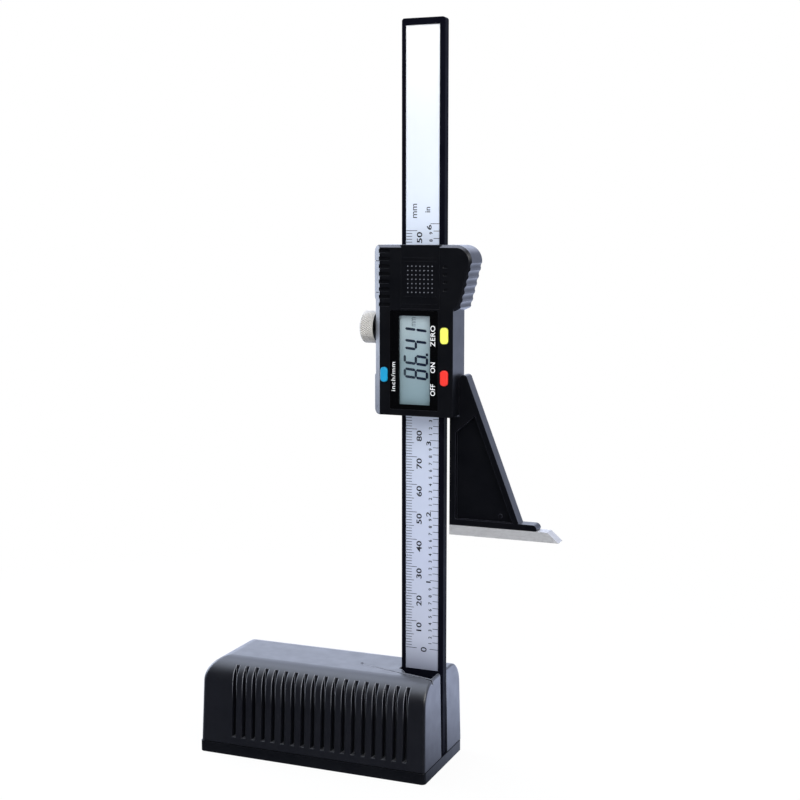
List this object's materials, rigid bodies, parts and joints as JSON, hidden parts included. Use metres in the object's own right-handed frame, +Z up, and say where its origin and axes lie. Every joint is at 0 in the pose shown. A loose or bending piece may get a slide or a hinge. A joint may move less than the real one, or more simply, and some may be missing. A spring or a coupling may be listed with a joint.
{
  "type": "height gauge",
  "caption": "Small digital height gauge: weighted base, flat column with a printed scale, and a sliding reading head that carries a measuring arm and steel blade.",
  "frame": {"origin": "middle of the base's underside", "axes": "+Z up along the column, +X along the base towards the blade, -Y towards the reader"},
  "size_m": [0.1321, 0.0382, 0.2657],
  "materials": {
    "black_plastic": "satin, fine grain",
    "base_plate_paint": "satin black",
    "cast_iron": "as cast",
    "screw_steel": "zinc plated",
    "column_composite": "smooth black composite",
    "back_plate_composite": "satin, fine grain",
    "blade_steel": "ground and bright",
    "knob_metal": "fine knurl, nickel plated",
    "battery_steel": "polished",
    "contact_brass": "spring temper",
    "insert_brass": "machined",
    "scale_silver": "silver film with printed graduations",
    "window_clear": "clear window with black border",
    "lcd_glass": "reflective grey-green display",
    "frame_plastic": "moulded",
    "contact_rubber": "striped conductive rubber",
    "board_green": "solder mask",
    "chip_black": "moulded",
    "dome_rubber": "soft silicone",
    "button_yellow": "satin",
    "button_red": "satin",
    "button_blue": "satin",
    "arm_plastic": "satin, fine grain",
    "pad_nylon": "nylon"
  },
  "bodies": {
    "base": {"base_plate": "base_plate_paint", "base_cover": "black_plastic", "ballast_block": "cast_iron", "base_cover_screws": "screw_steel", "ballast_screws": "screw_steel", "column": "column_composite", "column_screws": "screw_steel", "encoder_strip": "board_green", "scale_label": "scale_silver"},
    "head": {"front_cover": "black_plastic", "left_rail": "black_plastic", "right_rail": "black_plastic", "back_plate": "back_plate_composite", "front_cover_screws": "screw_steel", "back_plate_screws": "screw_steel", "arm_screws": "screw_steel", "display_window": "window_clear", "lcd_panel": "lcd_glass", "lcd_frame": "frame_plastic", "zebra_strip": "contact_rubber", "circuit_board": "board_green", "controller_chip": "chip_black", "button_pad": "dome_rubber", "battery": "battery_steel", "battery_contact_negative": "contact_brass", "battery_contact_positive": "contact_brass", "threaded_insert": "insert_brass", "measuring_arm": "arm_plastic", "scriber_blade": "blade_steel"},
    "zero_key": {"zero_button": "button_yellow"},
    "on_off_key": {"on_off_button": "button_red"},
    "unit_key": {"unit_button": "button_blue"},
    "battery_door": {"battery_cover": "black_plastic"},
    "lock_shoe": {"lock_pad": "pad_nylon"},
    "lock_knob": {"lock_screw": "knob_metal"}
  },
  "joints": [
    {"name": "head_slide", "type": "slide", "parent": "base", "child": "head", "axis": [0, 0, 1], "range_m": [-0.08641, 0.06359]},
    {"name": "zero_press", "type": "slide", "parent": "head", "child": "zero_key", "axis": [0, 1, 0], "range_m": [0, 0.0005], "stiffness_N_per_m": 3000},
    {"name": "on_off_press", "type": "slide", "parent": "head", "child": "on_off_key", "axis": [0, 1, 0], "range_m": [0, 0.0005], "stiffness_N_per_m": 3000},
    {"name": "unit_press", "type": "slide", "parent": "head", "child": "unit_key", "axis": [0, 1, 0], "range_m": [0, 0.0005], "stiffness_N_per_m": 3000},
    {"name": "battery_door_slide", "type": "slide", "parent": "head", "child": "battery_door", "axis": [0, 0, 1], "range_m": [0, 0.02]},
    {"name": "lock_advance", "type": "slide", "parent": "head", "child": "lock_shoe", "axis": [1, 0, 0], "range_m": [-0.00052, 0.00032]},
    {"name": "lock_turn", "type": "hinge", "parent": "lock_shoe", "child": "lock_knob", "pos_m": [0.01645, 0.00185, 0.15895], "axis": [1, 0, 0], "range_deg": [-360, 216]}
  ],
  "couplings": [
    {"joint": "lock_advance", "follows": "lock_turn", "m_per_rad": 0.00007958}
  ]
}
